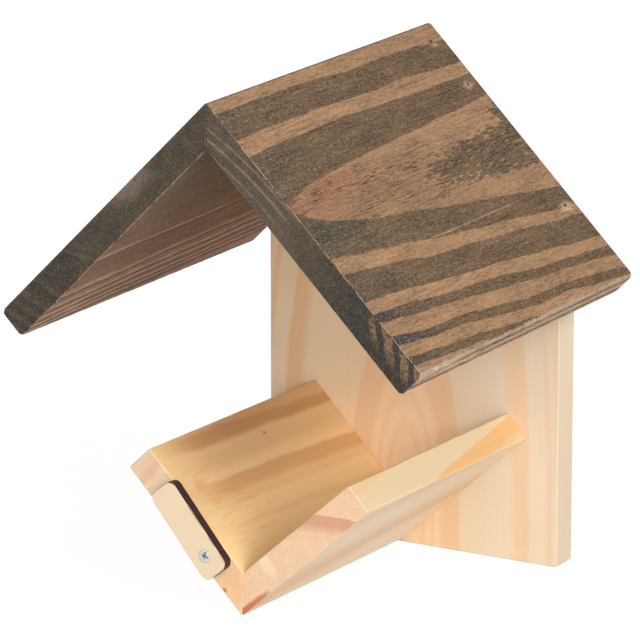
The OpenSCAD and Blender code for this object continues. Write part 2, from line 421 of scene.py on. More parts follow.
def brushed_stain():
    """A coat brushed on: streaks along the grain, mottles, dark pits and torn pale fibres."""
    tree, given = new_group(
        "Brushed stain",
        {"Vector": "vector", "Colour": "colour", "Pits": "value", "Flecks": "value",
         "Contrast": "value"},
        {"Colour": "colour", "Height": "value"})
    vector = given["Vector"]
    grain = tree.use(fibre_grain, vector=vector, width=0.6, length=7.0)
    slow = tree.stretched(tree.cloud(vector, (9, 30, 9), detail=3.0))
    mottle = tree.stretched(tree.cloud(vector, (1.3, 4, 1.3), detail=3.0, roughness=0.6))
    fine = tree.stretched(tree.cloud(vector, (0.6, 1.6, 0.6), offset=(5.5, 1.2, 8.4)))
    uneven = slow * 0.36 + tree.stretched(grain["Streak"]) * 0.5 + mottle * 0.54 + fine * 0.4 - 0.9
    colour = tree.tinted(given["Colour"], uneven * given["Contrast"] + 1)
    crowd = tree.rise(tree.cloud(vector, (11, 26, 11)), 0.42, 0.6)
    pits = grain["Dash"] * given["Pits"] * (crowd * 0.8 + 0.2)
    flecks = grain["Speck"] * given["Flecks"]
    return tree.give(Colour=tree.blend(flecks, tree.blend(pits, colour, PIT), FIBRE),
                     Height=mottle * 0.4 + grain["Streak"] * 0.5 - pits * 0.8 + flecks)


def sawn_end():
    """End grain with the saw's pale dust and scratches in it, or the speckles of the pores."""
    tree, given = new_group(
        "Sawn end",
        {"Vector": "vector", "Colour": "colour", "Dust": "value", "Powder": "colour"},
        {"Colour": "colour", "Height": "value"})
    vector, dusty = given["Vector"], given["Dust"]
    rough = tree.stretched(tree.cloud(vector, [0.8] * 3, detail=3.0, roughness=0.65))
    patchy = tree.stretched(tree.cloud(vector, [6] * 3))
    uneven = (rough * 0.7 + patchy * 0.3 - 0.5) * tree.math("MINIMUM", dusty * 2, 1.0)
    dust = tree.rise(tree.cloud(vector, [0.6] * 3, offset=(4.2, 9.1, 1.3)), 0.56, 0.68) * dusty
    return tree.give(Colour=tree.blend(dust, tree.tinted(given["Colour"], uneven + 1),
                                       given["Powder"]),
                     Height=rough + dust)


def wood_relief():
    """Raised grain as a normal, from the height of the fibres; Depth is in mm."""
    tree, given = new_group(
        "Wood relief",
        {"Height": "value", "Depth": "value"},
        {"Normal": "vector"})
    bump = tree.node("ShaderNodeBump", {"Height": given["Height"], "Distance": given["Depth"] * MM,
                                        "Strength": 1.0})
    return tree.give(Normal=bump[0])


# Materials

# How far a surface has to face along an axis to show none and all of that side's look
TURNED = (0.5, 0.8)


class PlankFrame:
    """Axes of a plank: across its width, along its grain and out of its face."""

    def __init__(self, origin, across, along, out):
        self.origin, self.rows = Vector(origin), Matrix((across, along, out))

    def mapping(self):
        """Settings of the Mapping node that turns object coordinates into plank millimetres."""
        side = 1 if self.rows.determinant() > 0 else -1
        turn = self.rows @ Matrix.Diagonal((1, side, 1))
        return {1: -(self.rows @ self.origin) / MM, 2: turn.to_euler(),
                3: (1 / MM, side / MM, 1 / MM)}


class Finish(Tree):
    """The node tree of a new material."""

    def __init__(self, name):
        self.material = bpy.data.materials.new(name)
        self.material.use_nodes = True
        super().__init__(self.material.node_tree)

    def shaded(self, inputs):
        """The material, with these inputs of its shader."""
        self.feed(self.graph.nodes["Principled BSDF"], inputs)
        return self.material


class Wood(Finish):
    """The finish of a board. Its patches and blots are in the board's own millimetres."""

    def __init__(self, name, plank, tones):
        super().__init__(name)
        self.plank, self.tones = plank, tones
        metres = self.node("ShaderNodeTexCoord")["Object"]
        self.place = self.node("ShaderNodeMapping", {0: metres, **plank.mapping()})[0]
        self.across, self.along, self.out = self.parts(self.place)

    def lay(self, make, **inputs):
        """A shared group over the board's millimetres."""
        return self.use(make, vector=self.place, **inputs)

    def blots(self, size, **settings):
        """Smooth noise over the board, in blots of a size across, along and out of it."""
        return self.cloud(self.place, size, **settings)

    def patch(self, centre, size, softness=0.3, ragged=0.6):
        """1 in a patch and 0 round it. Its centre and size are across, along and out."""
        return self.lay(soft_patch, centre=centre, size=size, softness=softness, ragged=ragged)[0]

    def marked(self, colour, tone, share, *spot, **edge):
        """A colour with a patch of a tone on it. share is the tone's share in the patch."""
        return self.blend(self.patch(*spot, **edge) * share, colour, tone)

    def facing(self, axis):
        """How far the surface faces along an axis at rest, from -1 to 1."""
        return self.vector_math("DOT_PRODUCT", self.node("ShaderNodeTexCoord")["Normal"], axis)

    def ends(self):
        """1 on the sawn ends and 0 along the grain."""
        return self.rise(abs(self.facing((0, 1, 0))), *TURNED)

    def wear(self):
        """How far a point lies in a worn arris, which the planks' meshes say, from 0 to 1."""
        return self.node("ShaderNodeAttribute", attribute_name="wear")["Fac"]

    def fibrous(self, level, streak, amount):
        """Breaks the edges between light and dark rings up into fibres."""
        return self.rise((streak - 0.5) * amount + level, 0.2, 0.8)

    def finished(self, colour, height, depth, roughness):
        """The material, with its grain raised by a depth in mm."""
        normal = self.use(wood_relief, height=height, depth=depth)[0]
        return self.shaded({"Base Color": colour, "Normal": normal, "Roughness": roughness,
                            "Specular IOR Level": 0.2})


# Radius in mm where the flame figure of the right roof board ends and its fans of rings start
FLAME_EDGE = 90
# Ring starts in mm from the heart, how light the ring is, and how soft its start is
RIDGE_SIDE_RINGS = [(60, 1), (FLAME_EDGE, 0.0, 0.06), (95.4, 1, 0.1), (98.9, 0.0, 0.2),
                    (102, 0.15, 1.5), (105.9, 0.85, 0.3)]
EAVE_SIDE_RINGS = [(60, 1), (FLAME_EDGE, 0.0, 0.06), (93.9, 0.9, 0.15), (96.6, 0.0), (103, 1),
                   (106.5, 0.0), (109.5, 1), (113.9, 0.05), (117, 1), (121, 0.15), (124, 0.9)]
LEFT_ROOF_RINGS = [(50, 0.3), (62.9, 0.9), (64.5, 0.05), (67, 0.3, 1), (81, 0.45, 1),
                   (83.4, 0.9), (85.2, 0.0), (87.4, 0.45, 1), (91.8, 1, 0.5), (94, 0.0),
                   (96.5, 0.5), (97.4, 0.95), (99.4, 0.4), (101.3, 0.0), (103.4, 0.8),
                   (105.6, 0.1), (107.7, 0.7), (110, 0.2), (112.2, 0.6)]
# Arcs on the right board's front end near the ridge
END_ARCS = [(190, 0), (197, 0.6), (197.8, 0), (202.2, 1), (203, 0), (206.4, 0.8), (207, 0)]
# Lines along an eave, from its top arris down in mm, and how light they are
EAVE_LINES = [(0, 0.75), (1, 0.1), (3.6, 0.8), (7.8, 0.35), (9, 0.0), (11, 1), (14, 0.5)]
BACK_RINGS = [(20, 0.15), (21.6, 0.55, 0.4), (22.4, 0.15, 0.4), (24, 0.5, 0.5),
              (25.2, 0.2, 0.4), (27.6, 0.72, 1.1), (35.4, 0.08, 0.8), (61.6, 1, 2.2),
              (69.5, 0.1, 0.9), (78.3, 0.7, 0.7), (81.3, 0.1, 0.5), (84, 0.45, 1), (90, 0.1)]
# The left cradle board's rings are nearly straight across its face, as the heart is far off
LEFT_CRADLE_RINGS = [(180, 0.1), (184, 0.3, 0.6), (187, 0.1, 1), (196, 0.4, 1.5),
                     (202, 0.85, 1.5), (209, 0.15, 0.8), (213.8, 0.4, 2), (222, 0.25, 2),
                     (226.8, 1, 1.2), (233, 0.5, 1.2), (240, 0.5)]
RIGHT_CRADLE_RINGS = [(70, 0.1), (78.1, 1, 0.2), (81.1, 0.05, 0.25), (105.2, 0.2, 0.6),
                      (107, 0.1, 0.4), (109.4, 1, 2.6), (116.5, 0.1, 0.2), (128, 0.4, 1),
                      (131, 0.1, 1)]
# Broad soft rings that show on the right cradle board's outer face only
OUTER_CRADLE_RINGS = [(60, 0.05), (76, 0.55, 3), (88, 0.05, 4), (108, 0.25, 4), (130, 0.05, 4)]
# Pale rings round the pins of the right roof board: across and along it, width, and how pale
PIN_HALOS = [(109.5, 91.5, 2.6, 0.8), (36.4, 91.5, 2, 0.5), (12, 90, 1.5, 0.4)]


def stained_board(name, node, looks_of, heart, drift):
    """Stained wood. looks_of gives its colours along the grain and on the ends, and its marks."""
    wood = Wood(name, sloped_frame(node), bpy.context.scene.feeder.stain)
    tones = wood.tones
    rings = wood.lay(growth_rings, heart=heart, drift=drift, closing=0.0, wobble=6.0, torn=1.6)
    streak = wood.blots((0.7, 8, 0.7), detail=3.0, roughness=0.6)
    colour, end, contrast, pits = looks_of(wood, rings, streak)
    line = wood.ring_tones((streak - 0.5) * 6 - wood.out, EAVE_LINES, 0.35)
    eave = wood.rise(wood.facing(wood.plank.rows[0]), 0.4, 0.7)
    colour = wood.blend(eave, colour, wood.blend(line, tones.dark, tones.eave))
    colour = wood.marked(colour, tones.bare, eave * 0.7, (152, -99, -1), (9, 30, 2.4), softness=0.5)
    coat = wood.lay(brushed_stain, colour=colour, pits=pits, flecks=0.45, contrast=contrast)
    sawn = wood.lay(sawn_end, colour=end, dust=0.4, powder=DUST)
    ends = wood.ends()
    worn = wood.lay(worn_arris, wear=wood.wear(), amount=0.55)[0]
    open_air = wood.rise(wood.across + wood.out, 1, 4)
    colour = wood.blend(ends, coat["Colour"], sawn["Colour"])
    colour = wood.blend(worn * open_air, colour, tones.worn)
    height = wood.blend(ends, coat["Height"], sawn["Height"])
    return wood.finished(colour, height, depth=0.22, roughness=0.7)


def right_roof_looks(wood, rings, streak):
    """The flame figure between the two fans of rings, and the stain that pooled at the front."""
    tones, across, radius = wood.tones, wood.across, rings["Radius"]
    fans = wood.blend(rings["Side"], wood.ring_tones(radius, RIDGE_SIDE_RINGS),
                      wood.ring_tones(radius, EAVE_SIDE_RINGS))
    flame = wood.rise(radius, FLAME_EDGE + 0.3, FLAME_EDGE - 0.3)
    knot = wood.math("MAXIMUM",
                     wood.patch((71.5, 106, 0), (12.6, 94, 60), softness=0.2, ragged=0.3),
                     wood.patch((55, 117, 0), (9, 24, 60), ragged=0.3))
    hatch = (wood.blots((1.3, 7, 1.3), detail=3.0, roughness=0.6) - 0.5) * 4.2 + knot
    fading = wood.rise(wood.along, 60, 100) * 0.06 + 0.94
    hatched = wood.rise(hatch, 0.5, 0.66) * wood.rise(knot, 0, 0.2) * fading
    level = wood.math("SUBTRACT", wood.fibrous(fans, streak, 0.7), hatched, clamp=True)
    darkness = 1 - level
    dark = wood.blend(wood.rise(wood.along, -10, -100) * 0.3, tones.dark, tones.moss)
    colour = wood.blend(hatched * 0.2, wood.blend(level, dark, tones.light), tones.moss)
    muddy = wood.patch((72, -45, 0), (22, 85, 40), softness=0.5) * flame
    colour = wood.blend(muddy * 0.3, colour, tones.dark)
    colour = wood.marked(colour, tones.ember, flame * 0.45, (56, -82, 0), (12, 50, 40),
                         softness=0.6)
    colour = wood.marked(colour, tones.ember, 0.6, (61, -101, 0), (2.2, 8, 40), softness=0.5)
    colour = wood.marked(colour, tones.moss, darkness * 0.75, (74, -104, 0), (9, 58, 40), ragged=0.3)
    pooled = (darkness * 0.8 + 0.2) * 0.85
    colour = wood.marked(colour, tones.ink, pooled, (132, -106, 0), (20, 24, 40), softness=0.6)
    colour = wood.marked(colour, tones.eave, 0.35, (97.8, 12, 0), (0.5, 40, 3), softness=0.4,
                         ragged=0.8)
    for halo_across, halo_along, wide, share in PIN_HALOS:
        colour = wood.marked(colour, tones.eave, share, (halo_across, halo_along, 0),
                             (wide, wide * 1.8, 3), softness=0.7)
    end = wood.blend(wood.rise(across, 60, 120, top=0.75) + 0.25, tones.end_pale, tones.end)
    end = wood.blend(darkness * wood.rise(across, 78, 94, top=0.3), end, tones.ink)
    broken = wood.rise(wood.blots((2.2, 4, 1.6)), 0.4, 0.5) * 0.5 + 0.1
    low_corner = wood.rise(across, 114, 124) * wood.rise(wood.out, -12, -4)
    end = wood.blend(level * low_corner * broken, end, tones.light)
    arcs = wood.lay(growth_rings, heart=(60, 0, -208), drift=(0, 0, 0), closing=0.0, wobble=9.0,
                    torn=2.0)["Radius"]
    arcs = wood.ring_tones(arcs, END_ARCS, 0.5) * wood.rise(across, 70, 55, top=0.35)
    end = wood.blend(arcs, end, tones.worn)
    pits = wood.math("MAXIMUM", muddy, knot) * 0.45 + 0.45
    return colour, end, 0.9 - level * 0.3, pits


def left_roof_looks(wood, rings, streak):
    """Brown underneath with pale lines, and like the right board on top."""
    tones, across = wood.tones, wood.across
    level = wood.fibrous(wood.ring_tones(rings["Radius"], LEFT_ROOF_RINGS), streak, 0.5)
    down = wood.rise(wood.facing((0, 0, 1)), -0.1, -0.4)
    under = wood.blend(wood.rise(across, 10, 100), tones.end_pale, tones.under)
    under = wood.blend(level * wood.rise(across, 20, 120), under, tones.under_light)
    colour = wood.blend(down, wood.blend(level, tones.dark, tones.light), under)
    shaded = wood.rise(wood.out * 0.5 + across, 98, 101, top=0.266) + 0.62
    end = wood.blend(shaded, tones.end_pale, tones.end)
    end = wood.marked(end, tones.worn, 0.3, (58, -100, -1), (12, 30, 5), softness=0.8, ragged=1.0)
    end = wood.blend(level * wood.rise(across, 85, 100, top=0.08), end, tones.worn)
    return colour, end, 1 - down * 0.45, 0.5 - down * 0.3


def stained_roof_right():
    return stained_board("Stained roof, right", "roof_board_right", right_roof_looks,
                         heart=(67, 0, -87.97), drift=(0.05, 0, 0.0205))


def stained_roof_left():
    return stained_board("Stained roof, left", "roof_board_left", left_roof_looks,
                         heart=(44.2, 0, 30), drift=(-0.062, 0, 0))


def planed_pine(name, plank, rings, softness, **growth):
    """Bare pine with soft orange rings. Gives its wood, its fibres, the radius and the rings."""
    wood = Wood(name, plank, bpy.context.scene.feeder.pine)
    streak = wood.lay(fibre_grain, width=0.9, length=24.0)["Streak"]
    radius = wood.lay(growth_rings, torn=1.0, **growth)["Radius"]
    level = wood.math("ADD", (streak - 0.5) * 0.45, wood.ring_tones(radius, rings, softness),
                      clamp=True)
    return wood, streak, radius, level


def fibred(wood, streak, colour):
    """A colour with pale and dark fibres in it."""
    fibres = wood.blend(streak, (0.94, 0.93, 0.91), (1.06, 1.07, 1.09))
    return wood.blend(1.0, colour, fibres, mode="MULTIPLY")


def back_pine():
    """Bare pine whose rings close to arches towards the top of the board."""
    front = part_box("back_board")[0].y
    plank = PlankFrame((0, front, 0), (1, 0, 0), (0, 0, 1), (0, -1, 0))
    wood, streak, radius, level = planed_pine("Pine, back", plank, BACK_RINGS, 0.6,
                                              heart=(-3.5, 30, 20), drift=(0, 0, 0), closing=0.33,
                                              wobble=4.0)
    tones = wood.tones
    pale = wood.blend(wood.rise(wood.across, -50, 60), tones.pale, tones.paler)
    # Lighter inside the arches: grain, with painted light on the middle of the board above the
    # cradle.
    pale = wood.blend(wood.rise(radius, 34, 25, top=0.6), pale, tones.arch)
    shown = level * (0.95 - wood.rise(wood.across, 20, 50, top=0.4))
    colour = fibred(wood, streak, wood.blend(shown, pale, tones.warm))
    return wood.finished(colour, streak, depth=0.05, roughness=0.55)


def cradle_pine(node, rings, outer_rings, marks, **growth):
    """Bare pine of a cradle board. marks adds what only that board has on it."""
    wood, streak, radius, level = planed_pine("Pine, " + node.replace("_", " "),
                                              sloped_frame(node), rings, 0.4, closing=0.0,
                                              **growth)
    tones, (edge_way, _, face_way) = wood.tones, wood.plank.rows
    # The outer face's cream base is pale wood with painted light from below on this downward face.
    outer = wood.blend(level * 0.12 + wood.ring_tones(radius, outer_rings), tones.cream, tones.warm)
    edge = wood.rise(wood.facing(edge_way), *TURNED)
    outer = wood.blend(edge, outer, wood.blend(level, tones.edge, tones.tan))
    # Painted light: the inner face lightens to ochre towards the crease, where the other board
    # shades it.
    inner = wood.blend(wood.rise(wood.across, 50, 0), tones.honey, tones.ochre_crease_light)
    # The amber rings fade in from the front end towards the back: real rings, with painted shade
    # under the roof darkening the back.
    inner = wood.blend(level * wood.rise(wood.along, -5, 38) * 0.85, inner, tones.amber)
    inner, end = marks(wood, inner, wood.blend(level, tones.peach, tones.rose))
    colour = wood.blend(wood.rise(wood.facing(face_way), *TURNED), outer, inner)
    pores = wood.lay(sawn_end, colour=end, dust=0.07, powder=tones.peach)["Colour"]
    colour = wood.blend(wood.ends(), fibred(wood, streak, colour), pores)
    return wood.finished(colour, streak, depth=0.05, roughness=0.55)


def left_cradle_marks(wood, inner, end):
    """Orange spots and brown scuffs near the front of the inner face, scuffs below the button."""
    tones = wood.tones
    spots = wood.math("MAXIMUM", wood.patch((59, 15, 15), (3.5, 5, 9), softness=0.7),
                      wood.patch((50.5, 17, 15), (1.8, 5, 9), softness=0.7))
    inner = wood.blend(spots * 0.8, inner, tones.tan)
    scuffs = wood.lay(fibre_grain, width=1.6, length=14.0)["Dash"] * 0.24
    inner = wood.marked(inner, tones.amber, scuffs, (46, 27, 15), (26, 24, 9), softness=0.6)
    inner = wood.marked(inner, tones.char, 0.6, (71, 84, 15), (0.7, 0.9, 3), ragged=0.1)
    end = wood.blend(0.65, end, wood.blend(0.4, tones.peach, tones.cream))
    end = wood.marked(end, tones.tan, 0.6, (12, 0, 7), (11, 9, 12), softness=0.6)
    end = wood.marked(end, tones.rose, 0.3, (77, 0, 8), (2.4, 9, 9), softness=0.6)
    return inner, wood.marked(end, tones.char, 0.6, (14, 0, 1.2), (1.1, 3, 0.7), softness=0.5)


def right_cradle_marks(wood, inner, end):
    """A resin streak low on the end, and bleached wood above it."""
    tones = wood.tones
    end = wood.marked(end, tones.cream, 0.5, (27.5, 0, 11), (3, 9, 6.5), softness=0.5)
    return inner, wood.marked(end, tones.resin, 0.85, (7, 0, 0.6), (12, 60, 2), softness=0.35,
                              ragged=0.5)


def cradle_pine_left():
    return cradle_pine("cradle_board_left", LEFT_CRADLE_RINGS, LEFT_CRADLE_RINGS,
                       left_cradle_marks, heart=(-144, 0, 60), drift=(-0.04, 0, 0), wobble=6.0)


def cradle_pine_right():
    return cradle_pine("cradle_board_right", RIGHT_CRADLE_RINGS, OUTER_CRADLE_RINGS,
                       right_cradle_marks, heart=(-6, 0, -78), drift=(0.064, 0, 0.077), wobble=2.0)


def button_ply():
    """Pale ply with a scorched cut edge."""
    wood = Wood("Ply with scorched edge", button_frame(), bpy.context.scene.feeder.pine)
    tones = wood.tones
    streak = wood.lay(fibre_grain, width=0.5, length=14.0)["Streak"]
    colour = wood.blend(streak, tones.ply, wood.blend(0.25, tones.ply, tones.warm))
    colour = wood.blend(wood.wear() * 0.5, colour, tones.tan)
    soot = wood.blots((1 / 0.6, 1 / 0.6, 1 / 2.5), detail=3.0)
    charred = wood.blend(soot, tones.char, wood.blend(0.06, tones.char, tones.warm))
    side = wood.rise(abs(wood.facing((0, 1, 0))), 0.75, 0.45)
    colour = wood.blend(side, colour, charred)
    return wood.finished(colour, streak, depth=0.03, roughness=0.5)


# Size of a spangle in the zinc, in metres
SPANGLE = 1 / 900


def zinc_plate(name, colour, roughness):
    """Bright metal with spangles that are up to a fifth darker."""
    metal = Finish(name)
    place = metal.node("ShaderNodeTexCoord")["Object"]
    spangle = metal.cloud(place, [SPANGLE] * 3, detail=3.0)
    shade = metal.blend(spangle, tuple(0.8 * c for c in colour), colour)
    return metal.shaded({"Base Color": shade, "Metallic": 1.0,
                         "Roughness": metal.rise(spangle, 0.2, 0.8, top=roughness * 2)})


# Planks

# Decimals of a metre to which the points of an outline are rounded
DECIMALS = 6
# Sine of the smallest angle that counts as a corner of an outline
STRAIGHT = 0.01


def end_outline(node, back=False):
    """The convex outline of a node's front or back end, counter-clockwise seen from the front."""
    points = [vertex.co for vertex in frame["nodes"][node].data.vertices]
    end = (max if back else min)(p.y for p in points)
    flat = {(round(p.x, DECIMALS), round(p.z, DECIMALS))
            for p in points if abs(p.y - end) < TOUCH}
    outline = []
    for ordered in (sorted(flat), sorted(flat, reverse=True)):
        chain = []
        for spot in map(Vector, ordered):
            while len(chain) > 1 and not turns_left(*chain[-2:], spot):
                chain.pop()
            chain.append(spot)
        outline += chain[:-1]
    return outline


def turns_left(a, b, c):
    """Whether the way from a through b to c turns left by more than a rounding error."""
    return (b - a).normalized().cross((c - b).normalized()) > STRAIGHT


def longest_run(node):
    """The two ends of the longest straight run of a node's front outline."""
    outline = end_outline(node)
    pairs = zip(outline, outline[1:] + outline[:1])
    return max(pairs, key=lambda pair: (pair[1] - pair[0]).length)


def sloped_frame(node):
    """Axes of a roof or cradle board, from its mitred corner, with Z out of its upper side."""
    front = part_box(node)[0].y
    a, b = longest_run(node)
    start, end = (a, b) if abs(a.x) < abs(b.x) else (b, a)
    across = Vector((end.x - start.x, 0, end.y - start.y)).normalized()
    out = Vector((-across.z, 0, across.x))
    if out.z < 0:
        out = -out
    lean = plank_fall(node)
    along = Vector((0, 1, lean)).normalized()
    out = (out - along * out.dot(along)).normalized()
    across = (across - along * across.dot(along)).normalized()
    origin_y = 0 if "roof" in node else front
    return PlankFrame((start.x, origin_y, start.y + lean * (origin_y - front)), across, along, out)


def button_frame():
    """Axes of the turn button, with Y along it from its screw's end and Z out of its face."""
    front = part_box("turn_button")[0].y
    a, b = longest_run("turn_button")
    low, high = (a, b) if a.y < b.y else (b, a)
    along = Vector((high.x - low.x, 0, high.y - low.y)).normalized()
    out = Vector((0, -1, 0))
    return PlankFrame((low.x, front, low.y), along.cross(out), along, out)


def plank_fall(node):
    """Rise of a node per metre from its front end to its back end."""
    front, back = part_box(node)[0].y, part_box(node)[1].y
    low = [min(p.y for p in end_outline(node, back=end)) for end in (False, True)]
    return (low[1] - low[0]) / (back - front)


ARC_STEPS = 4
# Distance from an arris to the first row of points on the flat face beside it
CREASE_GAP = 0.3 * MM
# Radius of an end's arrises, in radii of the arrises along the plank
END_ARRIS = 0.9
# Share of the radius at which the flat face of an end starts
END_FACE = 0.85
# A point goes into the wood at most so many times as far as its inset, where the outline turns
MOST_STRETCH = 2


def eased(outline, radius):
    """Points round an outline, each with how far it lies in the turn of an arris, from 0 to 1."""
    count = len(outline)
    long_after = [(outline[(i + 1) % count] - p).length > FLAT_FACE for i, p in enumerate(outline)]
    first = next(i for i in range(count) if long_after[i - 1])
    points, chain = [], []
    for k in range(count):
        i = (first + k) % count
        chain.append(outline[i])
        if not long_after[i]:
            continue
        if len(chain) == 1:
            chain = corner_arc(outline[i - 1], chain[0], outline[(i + 1) % count], radius)
        turns = len(chain) - 1
        points += [(p, math.sin(math.pi * j / turns)) for j, p in enumerate(chain)]
        chain = []
    return points


def corner_arc(before, at, after, radius):
    """The arc that eases one sharp corner."""
    a, b = (before - at).normalized(), (after - at).normalized()
    half = a.angle(b) / 2
    centre = at + (a + b).normalized() * radius / math.sin(half)
    start = at + a * radius / math.tan(half) - centre
    end = at + b * radius / math.tan(half) - centre
    turn = start.angle_signed(end)
    spun = [Matrix.Rotation(-turn * j / ARC_STEPS, 2) @ start for j in range(ARC_STEPS + 1)]
    return [centre + p for p in spun]


def stepped(points, step):
    """Adds points to the straight runs of an outline, close to their ends and a step apart."""
    made = []
    for (p, arris), (q, _) in zip(points, points[1:] + points[:1]):
        made.append((p, arris))
        length = (q - p).length
        pieces = math.ceil(length / step)
        shares = [j / pieces for j in range(1, pieces)]
        if length > FLAT_FACE:
            shares = [CREASE_GAP / length, *shares, 1 - CREASE_GAP / length]
        made += [(p.lerp(q, share), 0.0) for share in shares]
    return made


def inward(points):
    """The way into the wood at each point of an outline, stretched where the outline turns."""
    count = len(points)
    ways = []
    for i, (p, _) in enumerate(points):
        a = (p - points[i - 1][0]).normalized()
        b = (points[(i + 1) % count][0] - p).normalized()
        way = Vector((-(a.y + b.y), a.x + b.x)).normalized()
        ways.append(way / max(way.dot(Vector((-a.y, a.x))), 1 / MOST_STRETCH))
    return ways


def stations(front, back, radius, step):
    """Places along a plank, each with its inset and how far it lies in the turn of an end arris."""
    rounds = []
    for j in range(ARC_STEPS + 1):
        angle = math.pi / 2 * j / ARC_STEPS
        rounds.append((radius * (1 - math.cos(angle)), radius * (1 - math.sin(angle)),
                       math.sin(2 * angle)))
    run = back - front - 2 * radius
    middle = math.ceil(run / step)
    between = [CREASE_GAP, *[run * j / middle for j in range(1, middle)], run - CREASE_GAP]
    places = [(front + y, inset, arris) for y, inset, arris in rounds]
    places += [(front + radius + along, 0.0, 0.0) for along in between]
    return places + [(back - y, inset, arris) for y, inset, arris in reversed(rounds)]


def plank_piece(name, node, material, driven, mounts=(), arris=None):
    """A plank with eased and worn arrises and its bores, made round a node's front end."""
    settings = bpy.context.scene.feeder.planks
    radius = arris or settings.arris
    front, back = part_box(node)[0].y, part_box(node)[1].y
    fall = plank_fall(node)
    outline = stepped(eased(end_outline(node), radius), settings.step)
    ways = inward(outline)
    bm = bmesh.new()
    turned = bm.verts.layers.float.new("wear")
    rings = []
    for y, inset, end_arris in stations(front, back, radius * END_ARRIS, settings.step):
        ring = []
        for (p, side_arris), way in zip(outline, ways):
            q = p + way * inset
            vertex = bm.verts.new((q.x, y, q.y + fall * (y - front)))
            vertex[turned] = max(side_arris, end_arris) if inset < radius * END_FACE else 0.0
            ring.append(vertex)
        rings.append(ring)
    skin(bm, rings)
    wear_down(bm, turned)
    return smooth_object(name, bored(bm, cutters(driven, mounts)), material)


def skin(bm, rings):
    """Adds the faces between rings of points and the two end faces, all turned outwards."""
    for one, two in zip(rings, rings[1:]):
        for i in range(len(one)):
            bm.faces.new((one[i - 1], one[i], two[i], two[i - 1]))
    bm.faces.new(rings[0])
    bm.faces.new(rings[-1][::-1])
    outward(bm)


# Share of an arris that is lost all along it, and what slow and quick noise add or take away
EVEN_LOSS = 0.25
SLOW_LOSS = 0.55
QUICK_LOSS = 0.5
# Quick nicks to one slow one, and where the noise of the quick ones starts
QUICKER = 3.7
QUICK_START = Vector((9, 4, 6))
# What is seen of the wear where an arris is turned but nothing is lost
LEAST_WEAR = 0.35


def wear_down(bm, turned):
    """Nicks and rubs the arrises, and leaves in the attribute how much each point has lost."""
    settings = bpy.context.scene.feeder.planks
    bm.normal_update()
    for vertex in bm.verts:
        share = vertex[turned]
        if not share:
            continue
        slow = noise.noise(vertex.co / settings.wear_reach)
        quick = noise.noise(vertex.co / settings.wear_reach * QUICKER + QUICK_START)
        loss = max(0.0, EVEN_LOSS + SLOW_LOSS * slow + QUICK_LOSS * quick)
        vertex.co -= vertex.normal * share * loss * settings.wear
        vertex[turned] = share * min(1.0, LEAST_WEAR + loss)


SHARP = math.radians(30)
# A face with more corners than this is a flat end of a plank
MOST_ROUND_CORNERS = 12


def smooth_object(name, bm, material=None):
    """An object from a bmesh, smooth but for its sharp edges."""
    for face in bm.faces:
        face.smooth = True
    for edge in bm.edges:
        flat = any(len(face.verts) > MOST_ROUND_CORNERS for face in edge.link_faces)
        edge.smooth = edge.is_manifold and edge.calc_face_angle(0) < SHARP and not flat
    made = object_of(name, bm)
    if material:
        made.data.materials.clear()
        made.data.materials.append(material)
    return made


def outward(bm):
    """The bmesh, with its faces turned outwards."""
    bmesh.ops.recalc_face_normals(bm, faces=bm.faces)
    return bm


def linked(name, data):
    """A new object of the scene."""
    made = bpy.data.objects.new(name, data)
    bpy.context.scene.collection.objects.link(made)
    return made


def object_of(name, bm):
    """An object with the mesh of a bmesh, which is freed."""
    mesh = bpy.data.meshes.new(name)
    bm.to_mesh(mesh)
    bm.free()
    return linked(name, mesh)


def evaluated(name, source):
    """A plain mesh object from an object with modifiers, which is removed."""
    shown = source.evaluated_get(bpy.context.evaluated_depsgraph_get())
    mesh = bpy.data.meshes.new_from_object(shown)
    mesh.name = name
    discard(source)
    return linked(name, mesh)


def discard(source):
    mesh = source.data
    bpy.data.objects.remove(source)
    bpy.data.meshes.remove(mesh)


def bored(bm, cutter):
    """A bmesh less the cutter object, which is removed."""
    block = object_of("Block", bm)
    cut = block.modifiers.new("Bores", "BOOLEAN")
    cut.object, cut.operation, cut.solver = cutter, "DIFFERENCE", "EXACT"
    block = evaluated("Bored block", block)
    discard(cutter)
    if not block.data.polygons:
        raise RuntimeError("Nothing is left of a block once it is bored")
    done = bmesh.new()
    done.from_mesh(block.data)
    discard(block)
    return done


def stood(point, way):
    """The matrix that sets something on a point, with its Z along a way."""
    turn = Vector(way).to_track_quat("Z", "Y")
    return Matrix.Translation(point) @ turn.to_matrix().to_4x4()


def lathe(bm, profile, place=Matrix(), sides=24, groove=None):
    """Adds a closed round solid to a bmesh. The profile's points are (radius, height)."""
    rings = []
    for radius, height in dict.fromkeys(profile):
        if radius == 0:
            rings.append([bm.verts.new(place @ Vector((0, 0, height)))] * sides)
            continue
        ring = []
        for k in range(sides):
            angle = math.tau * k / sides
            reach = radius - (groove(angle, height) if groove else 0)
            spot = Vector((reach * math.cos(angle), reach * math.sin(angle), height))
            ring.append(bm.verts.new(place @ spot))
        rings.append(ring)
    for upper, lower in zip(rings, rings[1:]):
        for k in range(sides):
            corners = [upper[k - 1], lower[k - 1], lower[k], upper[k]]
            bm.faces.new(list(dict.fromkeys(corners)))


# Screws and pins

# Rounds of the power iteration that finds the long way of a screw or pin
POWER_STEPS = 40
# Gap between a screw or pin and the wood round it
DRIVEN_GAP = 0.05 * MM
# How far a cutter reaches out of the wood
CUTTER_REACH = 3 * MM
# Height of the straight edge round a countersunk head
SCREW_RIM = 0.3 * MM
# Length of a point, in radii of its shank
POINT_SHARE = 3.5
# A head no thicker than this is a pin's
PIN_HEAD = 1 * MM


